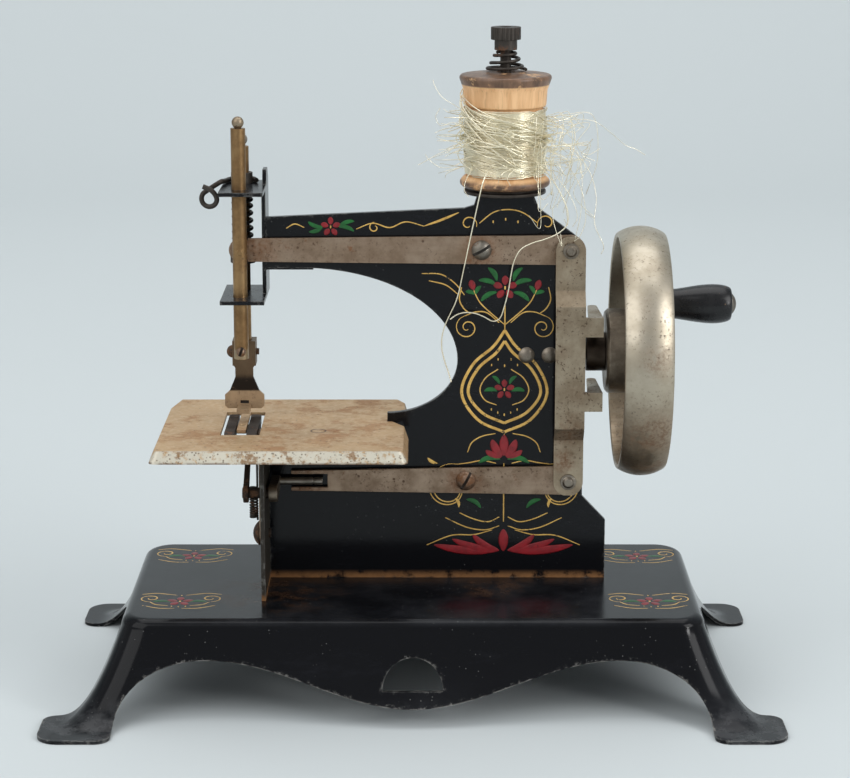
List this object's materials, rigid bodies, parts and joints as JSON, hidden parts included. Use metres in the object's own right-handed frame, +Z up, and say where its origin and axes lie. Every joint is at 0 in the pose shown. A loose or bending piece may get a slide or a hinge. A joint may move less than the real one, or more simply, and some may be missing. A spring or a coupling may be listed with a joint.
{
  "type": "toy sewing machine",
  "caption": "Hand-cranked toy chain-stitch sewing machine on a flared pressed-steel base, with handwheel, lever-driven needle bar, presser foot, feed and thread spool.",
  "frame": {"origin": "on the floor under the middle of the base", "axes": "+X along the machine to the handwheel, +Y to the back, +Z up"},
  "size_m": [0.1986, 0.117, 0.1814],
  "materials": {
    "black_enamel": "gloss enamel, dusty and worn",
    "nickel": "worn nickel plate",
    "worn_steel": "tarnished, pitted",
    "brassy": "worn through to brass",
    "iron": "dark, rust-spotted",
    "tin_plate": "tan, speckled with rust",
    "spool_wood": "turned, dry",
    "black_wood": "black varnish",
    "thread": "silky thread"
  },
  "bodies": {
    "machine": {"base_shell": "black_enamel", "frame_plate": "black_enamel", "end_plate": "black_enamel", "cloth_plate": "tin_plate", "cloth_plate_rivet": "tin_plate", "face_bracket": "black_enamel", "face_bracket_rivets": "black_enamel", "shaft_bearing": "iron", "bearing_rivets": "nickel", "upper_pivot_screw": "worn_steel", "lower_pivot_screw": "worn_steel", "pivot_washers": "worn_steel", "pivot_nuts": "iron", "spool_pin": "iron", "spool_seat": "iron", "spool_spring": "iron", "presser_guide_bush": "iron", "thread_guide": "iron", "feed_pivot_screw": "worn_steel", "thread_tail_left": "thread", "thread_tail_front": "thread"},
    "nut": {"thumb_nut": "iron"},
    "reel": {"spool": "spool_wood", "thread_core": "thread", "thread_winding": "thread"},
    "upper_arm": {"upper_lever": "worn_steel", "upper_link_rivet": "nickel"},
    "link": {"connecting_link": "nickel"},
    "lower_arm": {"lower_lever": "worn_steel", "lower_link_rivet": "nickel"},
    "needle": {"needle_bar": "brassy", "needle_bar_ball": "nickel", "needle_drive_pin": "iron", "needle_clamp_screw": "worn_steel"},
    "presser": {"presser_bar": "brassy", "presser_bar_eye": "iron", "presser_spring": "iron", "spring_collar": "iron", "presser_foot": "brassy", "presser_foot_screw": "iron"},
    "wheel": {"handwheel": "nickel", "wheel_hub": "nickel", "drive_eccentric": "iron", "wheel_shaft": "worn_steel", "shaft_collar": "iron", "handle_axle": "nickel"},
    "grip": {"handle_grip": "black_wood"},
    "rocker": {"rocker_shaft": "worn_steel", "rocker_crank": "iron", "crank_pin": "worn_steel", "looper": "worn_steel"},
    "feed": {"feed_lever": "iron", "feed_dog": "worn_steel", "feed_spring": "iron"}
  },
  "joints": [
    {"name": "wheel_turn", "type": "hinge", "parent": "machine", "child": "wheel", "pos_m": [0.0567, 0.0082, 0.0914], "axis": [1, 0, 0], "continuous": true},
    {"name": "grip_turn", "type": "hinge", "parent": "wheel", "child": "grip", "pos_m": [0.08, 0.03045, 0.10039], "axis": [1, 0, 0], "continuous": true},
    {"name": "upper_arm_rock", "type": "hinge", "parent": "machine", "child": "upper_arm", "pos_m": [0.0188, 0.0009, 0.1212], "axis": [0, 1, 0], "range_deg": [-5, 5]},
    {"name": "link_hang", "type": "hinge", "parent": "upper_arm", "child": "link", "pos_m": [0.0433, -0.00045, 0.1212], "axis": [0, 1, 0], "range_deg": [-5, 5]},
    {"name": "lower_arm_rock", "type": "hinge", "parent": "machine", "child": "lower_arm", "pos_m": [0.0147, 0.0009, 0.0558], "axis": [0, 1, 0], "range_deg": [-4.28, 4.28]},
    {"name": "needle_slide", "type": "slide", "parent": "machine", "child": "needle", "axis": [0, 0, 1], "range_m": [-0.00577, 0.00577]},
    {"name": "rocker_rock", "type": "hinge", "parent": "machine", "child": "rocker", "pos_m": [-0.041, -0.0125, 0.0558], "axis": [1, 0, 0], "range_deg": [-14.66, 14.66]},
    {"name": "feed_rock", "type": "hinge", "parent": "machine", "child": "feed", "pos_m": [-0.04245, -0.003, 0.0416], "axis": [1, 0, 0], "range_deg": [-2, 2]},
    {"name": "presser_slide", "type": "slide", "parent": "machine", "child": "presser", "axis": [0, 0, 1], "range_m": [-0.0014, 0.003], "deforming": ["presser_spring"]},
    {"name": "reel_turn", "type": "hinge", "parent": "machine", "child": "reel", "pos_m": [0.0253, 0.008, 0.15], "axis": [0, 0, 1], "continuous": true},
    {"name": "nut_turn", "type": "hinge", "parent": "machine", "child": "nut", "pos_m": [0.0253, 0.008, 0.178], "axis": [0, 0, 1], "continuous": true}
  ],
  "couplings": [
    {"joint": "link_hang", "follows": "upper_arm_rock", "ratio": -1},
    {"joint": "lower_arm_rock", "follows": "upper_arm_rock", "ratio": 0.85664},
    {"joint": "needle_slide", "follows": "upper_arm_rock", "m_per_rad": 0.0661},
    {"joint": "rocker_rock", "follows": "upper_arm_rock", "ratio": 2.9313},
    {"joint": "feed_rock", "follows": "upper_arm_rock", "ratio": 0.4}
  ]
}
